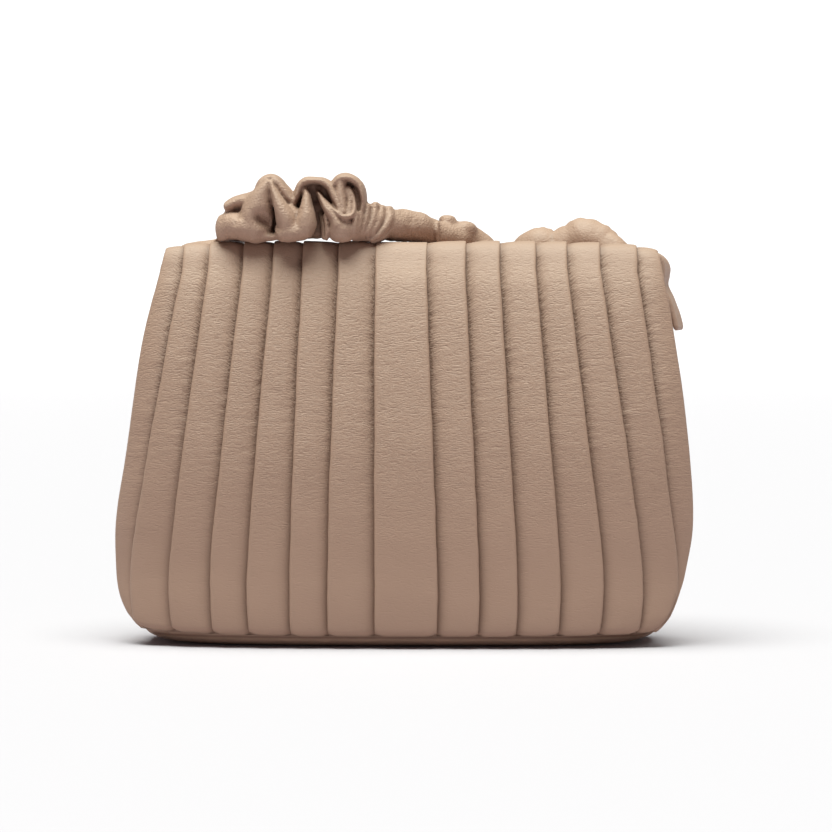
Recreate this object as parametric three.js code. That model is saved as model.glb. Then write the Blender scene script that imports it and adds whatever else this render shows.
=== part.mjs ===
// A soft leather bag with a pleated flap: a hollow body sewn from five panels, a full-front flap
// laid in knife pleats that face outwards from a wide middle pleat, and a short gathered strap
// that rests along the top between two sewn tabs.
// Millimetres, +Z up. The front faces -Y, and the origin is the middle of the base, on the ground.
import * as THREE from "three";

// Driving dimensions
const panelWall = 2; // leather and its backing, in every plain panel
const flapWall = 1.8; // flap where a pleat is tucked in
const pleatHeight = 3; // how far a folded edge stands above the tuck beside it
const pleatLap = 1; // how far a folded edge hangs over that tuck
const leastStrip = 2.2; // narrowest that the rounded corners squeeze a pleat
const seamAngle = 0.15; // half the gap between two sewn panels, in degrees round the body
const panelSeam = 58; // where the front and back panels meet the gussets, in degrees from the middle
const bodySquareness = 3; // exponent of the body's plan outline: 2 is an ellipse, more is squarer
const frontMouth = 156; // height of the front panel's free edge
const backMouth = 164; // height of the back panel's free edge
const baseInset = 1.5; // base plate inside the foot of the walls
const baseCorners = 48; // corners of the base plate's outline
const widePanelColumns = 16; // columns of faces across the front and back panels
const gussetColumns = 8;
const panelHeights = [0, 2, 5, 10, 20, 38, 60, 86, 112, 136]; // rows of a panel below its free edge
const tabWall = 2.4;
const tabFrontEdge = 2; // the tabs sit on the rear half of the gussets
const tabRearEdge = 24;

// Body from the ground up: outer left and right edge, and how far the front and back stand out.
const bodySections = [
  { z: 0, left: -103.5, right: 101, front: 33.5, back: 33.5 },
  { z: 3, left: -110.5, right: 107.5, front: 39, back: 39 },
  { z: 8, left: -115.5, right: 112, front: 41.2, back: 41 },
  { z: 16, left: -120, right: 116.5, front: 42, back: 41.6 },
  { z: 28, left: -123.6, right: 120.6, front: 42.6, back: 41.8 },
  { z: 57, left: -125.4, right: 125.4, front: 42.8, back: 41 },
  { z: 84, left: -122.6, right: 124.4, front: 41.2, back: 38.6 },
  { z: 111, left: -118.2, right: 122.4, front: 37.6, back: 35.2 },
  { z: 138, left: -114.2, right: 119.6, front: 31.4, back: 30.6 },
  { z: 166, left: -109.6, right: 117, front: 22.5, back: 24 },
];

// Lining side of the flap, from its hem up the front, over the top and down to its seam on the back:
// the line down its middle, its two edges, how deep its sides curve back, and the share of pleat height.
const flapSections = [
  { y: -42.4, z: 5.5, left: -115.2, right: 111.2, wrap: 42, pleat: 0.8 },
  { y: -43.1, z: 12, left: -120.4, right: 116.4, wrap: 43, pleat: 0.95 },
  { y: -43.6, z: 21, left: -124.2, right: 120, wrap: 44, pleat: 1 },
  { y: -43.8, z: 32, left: -127, right: 124, wrap: 45, pleat: 1 },
  { y: -43.9, z: 54, left: -127.2, right: 127.2, wrap: 45, pleat: 1 },
  { y: -42.6, z: 84, left: -123.4, right: 125.6, wrap: 43, pleat: 1 },
  { y: -38.8, z: 111, left: -119, right: 122.9, wrap: 38, pleat: 1 },
  { y: -32.9, z: 138, left: -114.6, right: 119.3, wrap: 31, pleat: 1 },
  { y: -26, z: 159, left: -110.4, right: 116.6, wrap: 22, pleat: 0.95 },
  { y: -19.8, z: 170, left: -108.2, right: 115, wrap: 14, pleat: 0.85 },
  { y: -16.6, z: 175.4, left: -107.3, right: 114.3, wrap: 11.5, pleat: 0.8 },
  { y: -13.6, z: 177.7, left: -106.9, right: 113.9, wrap: 10.4, pleat: 0.77 },
  { y: -7.5, z: 178.1, left: -106.5, right: 113.4, wrap: 9.6, pleat: 0.73 },
  { y: 0, z: 177.8, left: -106.2, right: 113, wrap: 9, pleat: 0.7 },
  { y: 12, z: 175.8, left: -106, right: 112.6, wrap: 10, pleat: 0.6 },
  { y: 21, z: 170.4, left: -105.8, right: 112.2, wrap: 12, pleat: 0.5 },
  { y: 25.8, z: 162, left: -105.6, right: 111.8, wrap: 15, pleat: 0.4 },
  { y: 30.1, z: 146, left: -105.2, right: 111.4, wrap: 19, pleat: 0.3 },
];
const flapSquareness = 3;
const edgeShare = 0.975; // share of the full plan curve at which the flap's side edges stop
const subdivided = [2, 2, 2, 1, 2, 2, 2, 2, 1, 1, 1, 1, 1, 1, 1, 1, 1]; // rows of faces between two sections

// Folded edges of the pleats, left to right: where each line crosses the flap near its top and near its foot.
const foldLines = [
  { top: -98.8, foot: -119.7 },
  { top: -87.1, foot: -102.8 },
  { top: -71.8, foot: -84.6 },
  { top: -58.3, foot: -68.4 },
  { top: -45.2, foot: -49.5 },
  { top: -29, foot: -32.9 },
  { top: -12.4, foot: -11.9 },
  { top: 10.6, foot: 16 },
  { top: 28.1, foot: 34.4 },
  { top: 43.4, foot: 51.3 },
  { top: 59.6, foot: 70.2 },
  { top: 73.6, foot: 88.9 },
  { top: 88.4, foot: 106 },
  { top: 104.6, foot: 121 },
];
const linesTop = 167; // height at which the column top is read
const linesFoot = 39;
const middleStrip = 7; // strips to its left fold towards the left, and those to its right fold to the right

// Shape of one strip, from its folded edge in to its tuck: share of the width, share of the height.
const stripShape = [
  { across: 0, height: 0.7 },
  { across: 0.14, height: 1 },
  { across: 0.55, height: 0.82 },
  { across: 1, height: 0 },
];

// Strap from the right tab to the left one, a row for each crest and hollow of its gathers:
// middle of the section, half its width and half its height.
const strapSections = [
  { x: 109.4, y: 13, z: 178.4, wide: 9.5, tall: 2 },
  { x: 106, y: 13.2, z: 178.8, wide: 8.6, tall: 2.4 },
  { x: 101, y: 18.6, z: 179.6, wide: 7.4, tall: 4 },
  { x: 96, y: 24.4, z: 180.4, wide: 8.4, tall: 7.6 },
  { x: 89.4, y: 28.2, z: 181, wide: 10.2, tall: 9.8 },
  { x: 82, y: 30, z: 181.6, wide: 11, tall: 11.2 },
  { x: 75, y: 30, z: 180, wide: 9, tall: 9 },
  { x: 69, y: 30.4, z: 178.2, wide: 8.5, tall: 8.6 },
  { x: 63, y: 32, z: 178.2, wide: 10.5, tall: 10.5 },
  { x: 56.5, y: 34.6, z: 176.8, wide: 10, tall: 10.2 },
  { x: 50.5, y: 37.6, z: 170.6, wide: 8.4, tall: 8.4 },
  { x: 44.5, y: 39, z: 168, wide: 9.4, tall: 9.4 },
  { x: 38.5, y: 37, z: 170.8, wide: 8.4, tall: 8.6 },
  { x: 33, y: 33, z: 176.6, wide: 9.6, tall: 9.8 },
  { x: 27.5, y: 28.4, z: 181.4, wide: 8.4, tall: 8.6 },
  { x: 21.5, y: 23.6, z: 184.6, wide: 10, tall: 9.8 },
  { x: 15.5, y: 17, z: 185.6, wide: 8.4, tall: 7.4 },
  { x: 10, y: 12, z: 186.2, wide: 7.6, tall: 6.6 },
  { x: 4.5, y: 6.4, z: 188.3, wide: 9, tall: 6.4 },
  { x: -1, y: 1.4, z: 188.6, wide: 7.8, tall: 6.4 },
  { x: -6.5, y: -3, z: 189.2, wide: 9, tall: 6.7 },
  { x: -12, y: -7, z: 190, wide: 8.2, tall: 7.3 },
  { x: -17, y: -11, z: 191, wide: 9.6, tall: 8.2 },
  { x: -21.2, y: -14, z: 195.6, wide: 13, tall: 13.3 },
  { x: -26.8, y: -17, z: 197.2, wide: 15, tall: 15.2 },
  { x: -32.4, y: -18.5, z: 195.7, wide: 11.6, tall: 13.7 },
  { x: -38.8, y: -19.5, z: 196.3, wide: 15, tall: 14.3 },
  { x: -45, y: -20, z: 195.4, wide: 13.4, tall: 13.4 },
  { x: -51, y: -20, z: 192.8, wide: 10.2, tall: 10.8 },
  { x: -56, y: -19.5, z: 195.3, wide: 13.4, tall: 13.3 },
  { x: -61.2, y: -18.5, z: 197.2, wide: 14.6, tall: 15.1 },
  { x: -67, y: -16, z: 195.2, wide: 13, tall: 13.1 },
  { x: -73, y: -11, z: 192.4, wide: 11.4, tall: 10.8 },
  { x: -78.4, y: -2.6, z: 190.2, wide: 9.6, tall: 9.2 },
  { x: -82, y: 7.4, z: 187, wide: 8, tall: 7.6 },
  { x: -84.6, y: 17, z: 183, wide: 7, tall: 6.4 },
  { x: -88.4, y: 26, z: 179.4, wide: 6.8, tall: 5.6 },
  { x: -93, y: 24.6, z: 179, wide: 6, tall: 5 },
  { x: -96, y: 18, z: 180.2, wide: 5.6, tall: 3.8 },
  { x: -99.8, y: 13.4, z: 180, wide: 8.4, tall: 2.6 },
  { x: -102.7, y: 13, z: 179.3, wide: 10, tall: 2 },
];
const strapSides = 14;
const ringsPerSection = 2;

// Tabs in the front view, from the tail up over the edge of the flap to the strap.
const rightTabPath = [
  { x: 125.2, z: 141.8 },
  { x: 123.8, z: 147.6 },
  { x: 121.2, z: 154.6 },
  { x: 118.8, z: 161.4 },
  { x: 120.2, z: 166 },
  { x: 120.2, z: 170.2 },
  { x: 118.8, z: 174.4 },
  { x: 115.2, z: 177.4 },
  { x: 110.9, z: 178.2 },
];
const leftTabPath = [
  { x: -115.2, z: 142 },
  { x: -113.9, z: 150 },
  { x: -112.5, z: 158 },
  { x: -112.2, z: 165 },
  { x: -111.8, z: 170.8 },
  { x: -109.2, z: 176 },
  { x: -104.4, z: 179.2 },
];

const leatherColour = 0xc4a58b;
const leatherRoughness = 0.62;

// Maths on tables

// A smooth curve through one column of a table, read at any value of its key column.
function readColumn(table, key, column, at) {
  let i = 0;
  while (i < table.length - 2 && at > table[i + 1][key]) i += 1;
  const slopeAt = (k) => {
    const before = table[Math.max(k - 1, 0)];
    const after = table[Math.min(k + 1, table.length - 1)];
    return (after[column] - before[column]) / (after[key] - before[key]);
  };
  const span = table[i + 1][key] - table[i][key];
  const t = (at - table[i][key]) / span;
  const rise = t * t * (3 - 2 * t);
  const leave = t * (1 - t) * (1 - t) * span;
  const arrive = t * t * (1 - t) * span;
  return (
    table[i][column] * (1 - rise) +
    table[i + 1][column] * rise +
    slopeAt(i) * leave -
    slopeAt(i + 1) * arrive
  );
}

// The unit normal of a surface given by a function of two values, on the side that faces out.
function normalAt(surface, u, v, stepU, stepV) {
  const acrossU = surface(u + stepU, v).sub(surface(u - stepU, v));
  const acrossV = surface(u, v + stepV).sub(surface(u, v - stepV));
  return acrossU.cross(acrossV).normalize();
}

// Solids from grids of points

function meshFrom(triangles) {
  const flat = triangles.flatMap((corner) => [corner.x, corner.y, corner.z]);
  const geometry = new THREE.BufferGeometry();
  geometry.setAttribute("position", new THREE.Float32BufferAttribute(flat, 3));
  geometry.computeVertexNormals();
  return geometry;
}

// A closed sheet: an outer and an inner grid of points, joined along all four edges.
function sheetSolid(outer, inner) {
  const triangles = [];
  const quad = (a, b, c, d) => triangles.push(a, b, c, a, c, d);
  const lastRow = outer.length - 1;
  const lastColumn = outer[0].length - 1;
  for (let j = 0; j < lastRow; j += 1) {
    for (let i = 0; i < lastColumn; i += 1) {
      quad(outer[j][i], outer[j][i + 1], outer[j + 1][i + 1], outer[j + 1][i]);
      quad(inner[j][i], inner[j + 1][i], inner[j + 1][i + 1], inner[j][i + 1]);
    }
    quad(outer[j][0], outer[j + 1][0], inner[j + 1][0], inner[j][0]);
    quad(outer[j][lastColumn], inner[j][lastColumn], inner[j + 1][lastColumn], outer[j + 1][lastColumn]);
  }
  for (let i = 0; i < lastColumn; i += 1) {
    quad(outer[0][i], inner[0][i], inner[0][i + 1], outer[0][i + 1]);
    quad(outer[lastRow][i], outer[lastRow][i + 1], inner[lastRow][i + 1], inner[lastRow][i]);
  }
  return meshFrom(triangles);
}

// A closed tube through rings of points, with a flat fan at each end.
function tubeSolid(rings) {
  const triangles = [];
  const sides = rings[0].length;
  const middleOf = (ring) =>
    ring.reduce((sum, point) => sum.add(point), new THREE.Vector3()).divideScalar(sides);
  const first = middleOf(rings[0]);
  const last = middleOf(rings.at(-1));
  for (let i = 0; i < sides; i += 1) {
    const next = (i + 1) % sides;
    for (let j = 0; j + 1 < rings.length; j += 1) {
      const [a, b] = [rings[j], rings[j + 1]];
      triangles.push(a[i], a[next], b[next], a[i], b[next], b[i]);
    }
    triangles.push(first, rings[0][next], rings[0][i]);
    triangles.push(last, rings.at(-1)[i], rings.at(-1)[next]);
  }
  return meshFrom(triangles);
}

// Body

// A point on the outside of the body: an angle round from the middle of the front, and a height.
function bodySurface(angle, z) {
  const read = (column) => readColumn(bodySections, "z", column, z);
  const turn = THREE.MathUtils.degToRad(angle);
  const power = 2 / bodySquareness;
  const across = Math.sign(Math.sin(turn)) * Math.abs(Math.sin(turn)) ** power;
  const ahead = Math.abs(Math.cos(turn)) ** power;
  const halfWidth = (read("right") - read("left")) / 2;
  return new THREE.Vector3(
    (read("right") + read("left")) / 2 + halfWidth * across,
    Math.cos(turn) > 0 ? -read("front") * ahead : read("back") * ahead,
    z,
  );
}

// The mouth slopes along the gussets from the low front edge up to the back.
function mouthHeight(angle) {
  const turned = Math.abs(((angle + 180) % 360) - 180);
  const share = THREE.MathUtils.clamp((turned - panelSeam) / (180 - 2 * panelSeam), 0, 1);
  return THREE.MathUtils.lerp(frontMouth, backMouth, share);
}

// One panel of the body between two seams, from the ground to the mouth.
function bodyPanel(fromSeam, toSeam, columns) {
  const outer = [];
  const inner = [];
  for (let j = 0; j <= panelHeights.length; j += 1) {
    outer.push([]);
    inner.push([]);
    for (let i = 0; i <= columns; i += 1) {
      const angle = THREE.MathUtils.lerp(fromSeam + seamAngle, toSeam - seamAngle, i / columns);
      const z = j < panelHeights.length ? panelHeights[j] : mouthHeight(angle);
      const point = bodySurface(angle, z);
      const normal = normalAt(bodySurface, angle, Math.max(z, 1), 0.5, 1);
      outer[j].push(point);
      inner[j].push(point.clone().addScaledVector(normal, -panelWall));
    }
  }
  return sheetSolid(outer, inner);
}

// The flat base, set inside the foot of the walls.
function basePlate() {
  const outline = [];
  for (let i = 0; i < baseCorners; i += 1) {
    const angle = (360 * i) / baseCorners;
    const foot = bodySurface(angle, 0);
    const flatNormal = normalAt(bodySurface, angle, 3, 0.5, 1).setZ(0).normalize();
    foot.addScaledVector(flatNormal, -baseInset);
    outline.push(new THREE.Vector2(foot.x, foot.y));
  }
  return new THREE.ExtrudeGeometry(new THREE.Shape(outline), { depth: panelWall, bevelEnabled: false });
}

// Flap

// Each section gets the length run from the hem to it, along the middle of the flap.
flapSections.forEach((section, i) => {
  const before = flapSections[i - 1];
  section.run = before ? before.run + Math.hypot(section.y - before.y, section.z - before.z) : 0;
});
const topOfFlap = flapSections.find((section) => section.y === 0);

const flapRead = (column, run) => readColumn(flapSections, "run", column, run);

// A point on the lining side of the flap: a place across it, and the length run from the hem.
function flapBed(x, run) {
  const step = 0.5;
  const alongY = flapRead("y", run + step) - flapRead("y", run - step);
  const alongZ = flapRead("z", run + step) - flapRead("z", run - step);
  const along = Math.hypot(alongY, alongZ);
  const middle = (flapRead("left", topOfFlap.run) + flapRead("right", topOfFlap.run)) / 2;
  const reach = fullReach(run) / edgeShare;
  const share = Math.min(Math.abs(x - middle) / reach, 0.99);
  const depth = flapRead("wrap", run) * (1 - (1 - share ** flapSquareness) ** (1 / flapSquareness));
  return new THREE.Vector3(
    x,
    flapRead("y", run) + (alongZ / along) * depth,
    flapRead("z", run) - (alongY / along) * depth,
  );
}

// Half the flap's width at a section, as if its lower corners were not rounded off.
function fullReach(run) {
  const cornerEnd = flapSections.find((section) => section.z >= linesFoot).run;
  const at = Math.max(run, cornerEnd);
  return (flapRead("right", at) - flapRead("left", at)) / 2;
}

// The lines that bound the strips at one section: left edge, every folded edge, right edge.
function stripLines(run) {
  const left = flapRead("left", run);
  const right = flapRead("right", run);
  const height = run < topOfFlap.run ? flapRead("z", run) : topOfFlap.z;
  const drop = THREE.MathUtils.clamp((linesTop - height) / (linesTop - linesFoot), 0, 1);
  const strips = foldLines.length + 1;
  return [
    left,
    ...foldLines.map((line, i) =>
      THREE.MathUtils.clamp(
        THREE.MathUtils.lerp(line.top, line.foot, drop),
        left + leastStrip * (i + 1),
        right - leastStrip * (strips - i - 1),
      ),
    ),
    right,
  ];
}

// Every column of the flap's grid: its strip, its place across the strip, its height and its overhang.
function flapColumns() {
  const columns = [];
  for (let strip = 0; strip <= foldLines.length; strip += 1) {
    const half = stripShape.slice(0, -1).map((row) => ({ strip, ...row }));
    const leftFold = half.map((row) => ({ ...row, lap: row.across === 0 ? -pleatLap : 0 }));
    const rightFold = half
      .map((row) => ({ ...row, across: 1 - row.across, lap: row.across === 0 ? pleatLap : 0 }))
      .reverse();
    const tuck = stripShape.at(-1).height;
    if (strip < middleStrip) columns.push(...leftFold, { strip, across: 1, height: tuck, lap: 0 });
    else if (strip > middleStrip) columns.push({ strip, across: 0, height: tuck, lap: 0 }, ...rightFold);
    else columns.push(...leftFold.slice(0, 2), { strip, across: 0.5, height: 1, lap: 0 }, ...rightFold.slice(-2));
  }
  columns[0].lap = 0;
  columns.at(-1).lap = 0;
  return columns;
}

function flap() {
  const columns = flapColumns();
  const runs = [];
  subdivided.forEach((parts, i) => {
    const [from, to] = [flapSections[i].run, flapSections[i + 1].run];
    for (let k = 0; k < parts; k += 1) runs.push(from + ((to - from) * k) / parts);
  });
  runs.push(flapSections.at(-1).run);
  const spread = 0.3; // keeps the lining's columns apart under an overhang
  const outer = [];
  const inner = [];
  for (const run of runs) {
    const lines = stripLines(run);
    const pleat = pleatHeight * flapRead("pleat", run);
    const outerRow = [];
    const innerRow = [];
    for (const { strip, across, height, lap } of columns) {
      const width = lines[strip + 1] - lines[strip];
      const x = lines[strip] + width * across;
      const normal = normalAt(flapBed, x + lap, run, 0.5, 0.5);
      outerRow.push(flapBed(x + lap, run).addScaledVector(normal, flapWall + pleat * height));
      innerRow.push(flapBed(x + spread * (1 - 2 * across), run));
    }
    outer.push(outerRow);
    inner.push(innerRow);
  }
  return sheetSolid(outer, inner);
}

// Strap and tabs

function strap() {
  const route = new THREE.CatmullRomCurve3(
    strapSections.map(({ x, y, z }) => new THREE.Vector3(x, y, z)),
  );
  const sections = strapSections.map((section, i) => ({ ...section, place: i }));
  const last = sections.length - 1;
  const up = new THREE.Vector3(0, 0, 1);
  const rings = [];
  for (let k = 0; k <= last * ringsPerSection; k += 1) {
    const place = k / ringsPerSection;
    const middle = route.getPoint(place / last);
    const along = route.getTangent(place / last);
    const side = up.clone().cross(along).normalize();
    const rise = along.clone().cross(side).normalize();
    const wide = readColumn(sections, "place", "wide", place);
    const tall = readColumn(sections, "place", "tall", place);
    const ring = [];
    for (let i = 0; i < strapSides; i += 1) {
      const angle = (2 * Math.PI * i) / strapSides;
      ring.push(
        middle
          .clone()
          .addScaledVector(side, wide * Math.cos(angle))
          .addScaledVector(rise, tall * Math.sin(angle)),
      );
    }
    rings.push(ring);
  }
  return tubeSolid(rings);
}

// A tab is a flat strip of leather that follows a path in the front view.
function tab(path, outwards) {
  const rows = path.map((section, i) => ({ ...section, place: i }));
  const outer = [];
  const inner = [];
  const edges = outwards > 0 ? [tabFrontEdge, tabRearEdge] : [tabRearEdge, tabFrontEdge];
  for (let place = 0; place <= rows.length - 1; place += 0.5) {
    const at = (column, shift) => readColumn(rows, "place", column, place + shift);
    const alongX = at("x", 0.1) - at("x", -0.1);
    const alongZ = at("z", 0.1) - at("z", -0.1);
    const normal = new THREE.Vector3(alongZ, 0, -alongX).normalize().multiplyScalar(outwards);
    const strip = edges.map((y) => new THREE.Vector3(at("x", 0), y, at("z", 0)));
    outer.push(strip.map((point) => point.clone().addScaledVector(normal, tabWall / 2)));
    inner.push(strip.map((point) => point.clone().addScaledVector(normal, -tabWall / 2)));
  }
  return sheetSolid(outer, inner);
}

// Assembly

const bag = new THREE.Group();

function add(name, geometry) {
  const leather = new THREE.MeshStandardMaterial({
    color: leatherColour,
    roughness: leatherRoughness,
    metalness: 0,
  });
  const mesh = new THREE.Mesh(geometry, leather);
  mesh.name = name;
  bag.add(mesh);
}

add("base_panel", basePlate());
add("front_panel", bodyPanel(-panelSeam, panelSeam, widePanelColumns));
add("gusset_right", bodyPanel(panelSeam, 180 - panelSeam, gussetColumns));
add("back_panel", bodyPanel(180 - panelSeam, 180 + panelSeam, widePanelColumns));
add("gusset_left", bodyPanel(180 + panelSeam, 360 - panelSeam, gussetColumns));
add("flap", flap());
add("strap_tab_right", tab(rightTabPath, 1));
add("strap_tab_left", tab(leftTabPath, -1));
add("strap", strap());

export default bag;
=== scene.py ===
import math
import bpy
import numpy as np
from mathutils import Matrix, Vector


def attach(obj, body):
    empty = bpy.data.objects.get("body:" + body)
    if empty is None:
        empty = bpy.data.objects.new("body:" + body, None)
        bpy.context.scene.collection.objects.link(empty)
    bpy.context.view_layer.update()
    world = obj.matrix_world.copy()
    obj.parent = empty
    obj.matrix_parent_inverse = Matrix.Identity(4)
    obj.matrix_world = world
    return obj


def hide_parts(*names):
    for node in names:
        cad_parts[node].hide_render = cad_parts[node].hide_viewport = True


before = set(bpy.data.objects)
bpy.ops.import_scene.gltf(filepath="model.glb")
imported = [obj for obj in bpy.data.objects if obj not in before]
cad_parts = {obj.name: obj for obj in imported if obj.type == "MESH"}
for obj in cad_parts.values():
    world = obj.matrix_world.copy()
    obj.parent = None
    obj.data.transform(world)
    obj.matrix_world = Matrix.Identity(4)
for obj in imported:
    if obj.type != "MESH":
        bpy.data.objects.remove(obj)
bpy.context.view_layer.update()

# Pleated leather bag, front towards -Y. Lengths are millimetres, but metres in the studio.
# The tables follow the part's own sections, so every piece lies where its solid is.

mm = 0.001  # in metres
perMetre = 1000.0


# Tables and noise

def stack(*columns):  # columns side by side, single numbers spread to fit
    return np.stack(np.broadcast_arrays(*columns), -1)


def tableOf(names, rows):
    columns = np.array(rows, float).T
    return dict(zip(names.split(), columns))


def readTable(table, key, column, at):  # smooth curve through one column
    keys, values = table[key], table[column]
    at = np.asarray(at, float)
    last = len(keys) - 1
    before = np.maximum(np.arange(last + 1) - 1, 0)
    after = np.minimum(np.arange(last + 1) + 1, last)
    slopes = (values[after] - values[before]) / (keys[after] - keys[before])
    i = np.clip(np.searchsorted(keys, at, side="left") - 1, 0, last - 1)
    span = keys[i + 1] - keys[i]
    t = (at - keys[i]) / span
    rise = t * t * (3 - 2 * t)
    leave = t * (1 - t) ** 2 * span
    arrive = t * t * (1 - t) * span
    return values[i] * (1 - rise) + values[i + 1] * rise + slopes[i] * leave - slopes[i + 1] * arrive


def readColumns(table, key, columns, at):
    return [readTable(table, key, column, at) for column in columns.split()]


noiseHash = {  # large odd numbers scatter the cells
    "cell": (374761393, 668265263, 1442695041),
    "seed": 974634777,
    "stir": 1274126177,
    "mask": 0xffffffff,
    "gain": 1.5,
}


def softNoise(x, y, z=0.0, seed=1):  # smooth noise, about -1 to 1
    mask = noiseHash["mask"]
    p = stack(x, y, z).astype(float)
    cell = np.floor(p).astype(np.int64)
    part = p - cell
    ease = part ** 3 * (part * (part * 6 - 15) + 10)
    total = np.zeros(p.shape[:-1])
    for corner in np.ndindex(2, 2, 2):
        at = cell + np.array(corner)
        code = (at * np.array(noiseHash["cell"])).sum(-1) + seed * noiseHash["seed"] & mask
        code = (code ^ (code >> 13)) * noiseHash["stir"] & mask
        code = code ^ (code >> 16)
        away = part - np.array(corner)
        slope = np.stack([(code >> shift) & 1023 for shift in (0, 10, 20)], -1) / 511.5 - 1
        weight = np.prod(np.where(np.array(corner) == 1, ease, 1 - ease), -1)
        total += weight * (slope * away).sum(-1)
    return total * noiseHash["gain"]


def smoothStep(low, high, x):
    t = np.clip((x - low) / (high - low), 0, 1)
    return t * t * (3 - 2 * t)


def unit(v):
    return v / np.maximum(np.linalg.norm(v, axis=-1, keepdims=True), 1e-9)


def crossUnit(a, b):
    return unit(np.cross(a, b))


def runOf(points):  # length along a line of points
    return np.concatenate([[0], np.cumsum(np.linalg.norm(np.diff(points, axis=0), axis=1))])


def sweep(middle, side, rise, across, up):  # rings of points round a line
    return middle[:, None] + side[:, None] * across[..., None] + rise[:, None] * up[..., None]


# Meshes from grids of points

def addObject(name, data):
    thing = bpy.data.objects.new(name, data)
    bpy.context.collection.objects.link(thing)
    return thing


def cornersOf(mesh):
    corners = np.empty(len(mesh.loops), np.int32)
    mesh.loops.foreach_get("vertex_index", corners)
    return corners


def makePiece(name, grids, faces, flats, marks, look):
    points = np.concatenate([grid.reshape(-1, 3) for grid in grids])
    flat = np.concatenate([grid.reshape(-1, 2) for grid in flats])
    mesh = bpy.data.meshes.new(name)
    mesh.from_pydata((points * mm).tolist(), [], faces)
    mesh.shade_smooth()
    layer = mesh.uv_layers.new(name="flat")
    layer.data.foreach_set("uv", flat[cornersOf(mesh)].astype(np.float32).ravel())
    for mark, values in marks.items():  # one array or number for each grid
        spread = [np.broadcast_to(value, grid.shape[:-1]).ravel() for value, grid in zip(values, grids)]
        attribute = mesh.attributes.new(mark, "FLOAT", "POINT")
        attribute.data.foreach_set("value", np.concatenate(spread).astype(np.float32))
    mesh.materials.append(look)
    piece = addObject(name, mesh)
    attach(piece, "root")
    print(name, len(mesh.polygons), "faces")
    return piece


def gridFaces(rows, columns, start=0, flip=False):
    j, i = np.meshgrid(np.arange(rows - 1), np.arange(columns - 1), indexing="ij")
    a = start + j * columns + i
    quads = stack(a, a + 1, a + columns + 1, a + columns).reshape(-1, 4)
    return (quads[:, ::-1] if flip else quads).tolist()


def rimFaces(dense, sparse, nearest, flip):  # joins a dense edge to a sparser one
    faces = []
    for i in range(len(dense) - 1):
        a, b = sparse[nearest[i]], sparse[nearest[i + 1]]
        face = [dense[i], dense[i + 1], a] if a == b else [dense[i], dense[i + 1], b, a]
        faces.append(face[::-1] if flip else face)
    return faces


def nearestPick(count, picks):
    return [int(np.argmin(np.abs(np.array(picks) - k))) for k in range(count)]


def sheetFaces(shape, rowPicks, columnPicks):  # a closed sheet: dense outside, sparser inside
    rows, columns = shape
    innerRows, innerColumns = len(rowPicks), len(columnPicks)
    start = rows * columns
    faces = gridFaces(rows, columns) + gridFaces(innerRows, innerColumns, start, True)
    outer = np.arange(start).reshape(rows, columns)
    inner = start + np.arange(innerRows * innerColumns).reshape(innerRows, innerColumns)
    toRow = nearestPick(rows, rowPicks)
    toColumn = nearestPick(columns, columnPicks)
    for dense, sparse, nearest, flip in (
        (outer[0], inner[0], toColumn, True),
        (outer[-1], inner[-1], toColumn, False),
        (outer[:, 0], inner[:, 0], toRow, False),
        (outer[:, -1], inner[:, -1], toRow, True),
    ):
        faces += rimFaces(dense.tolist(), sparse.tolist(), nearest, flip)
    return faces


def tubeFaces(count, sides, start=0):  # the last two faces close its ends
    faces = []
    last = start + (count - 1) * sides
    for a in range(start, last, sides):
        for i in range(sides):
            n = (i + 1) % sides
            faces.append([a + i, a + n, a + sides + n, a + sides + i])
    faces.append(list(range(start, start + sides))[::-1])
    faces.append(list(range(last, last + sides)))
    return faces


# Leather

leatherLook = {
    "base": (0.324, 0.195, 0.1413, 1),
    "worn": (0.348, 0.2125, 0.1555, 1),
    # painted shade: the colour mixed in where tucks, seams, hollows and pucker lines fall in shade
    "paintedDarkColour": (0.165, 0.084, 0.054, 1),
    "roughness": 0.55, "roughSpread": 0.1, "specular": 0.42,
    "crepeSize": (3.6, 1), "crepeSharp": 2.6,
    "pinchSize": (2, 0.78), "pinchRange": (0.46, 0.58), "pinchDepth": 1.3, "pinchShade": 0.6,
    "pebbleScale": 1.1, "fineScale": 2.6, "fineHeight": 0.1, "patchScale": 0.035,
    "bumpDepth": 0.0005, "bumpStrength": 0.42,
}
threadLook = {
    "dark": (0.2, 0.115, 0.078, 1), "light": (0.3, 0.185, 0.132, 1), "roughness": 0.7,
    "twistScale": 1.6, "bumpDepth": 0.0002, "bumpStrength": 0.6,
}


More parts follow.
